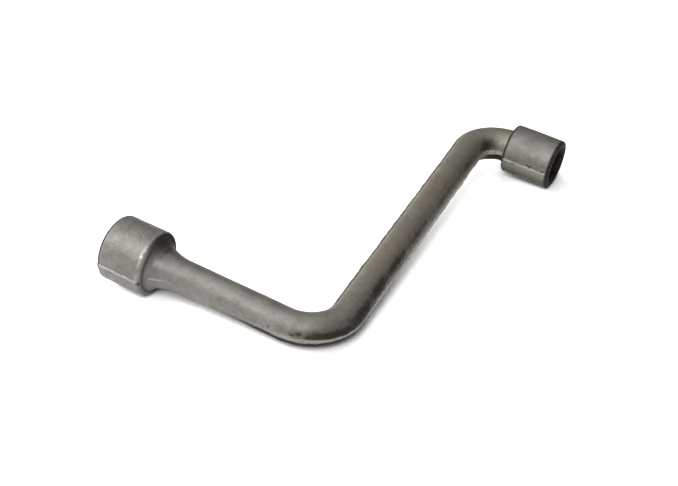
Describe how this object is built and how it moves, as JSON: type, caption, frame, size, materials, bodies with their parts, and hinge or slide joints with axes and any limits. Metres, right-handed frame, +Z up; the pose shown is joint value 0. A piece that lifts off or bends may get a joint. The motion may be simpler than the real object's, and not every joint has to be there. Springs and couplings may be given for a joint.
{
  "type": "lug wrench",
  "caption": "Z-shaped lug wrench: a round bar bent twice in one plane, with a hexagonal nut socket on each end, one larger than the other.",
  "frame": {"origin": "on the floor, under the middle of the bounding box, with the tool lying on its large socket's shoulder, its first bend and its small socket's mouth", "axes": "+X the way the small socket's mouth faces in plan, +Y from the large socket's arm towards the small socket's, +Z up"},
  "size_m": [0.146, 0.2336, 0.0335],
  "materials": {
    "forged_bar": "dark forging scale with brown patina, semi-matte",
    "forged_socket": "worn grey forging scale with rust specks, semi-matte",
    "weld_metal": "dull oxidised weld bead"
  },
  "bodies": {
    "root": {"handle_bar": "forged_bar", "large_socket": "forged_socket", "small_socket": "forged_socket", "large_socket_weld": "weld_metal", "small_socket_weld": "weld_metal"}
  },
  "joints": []
}
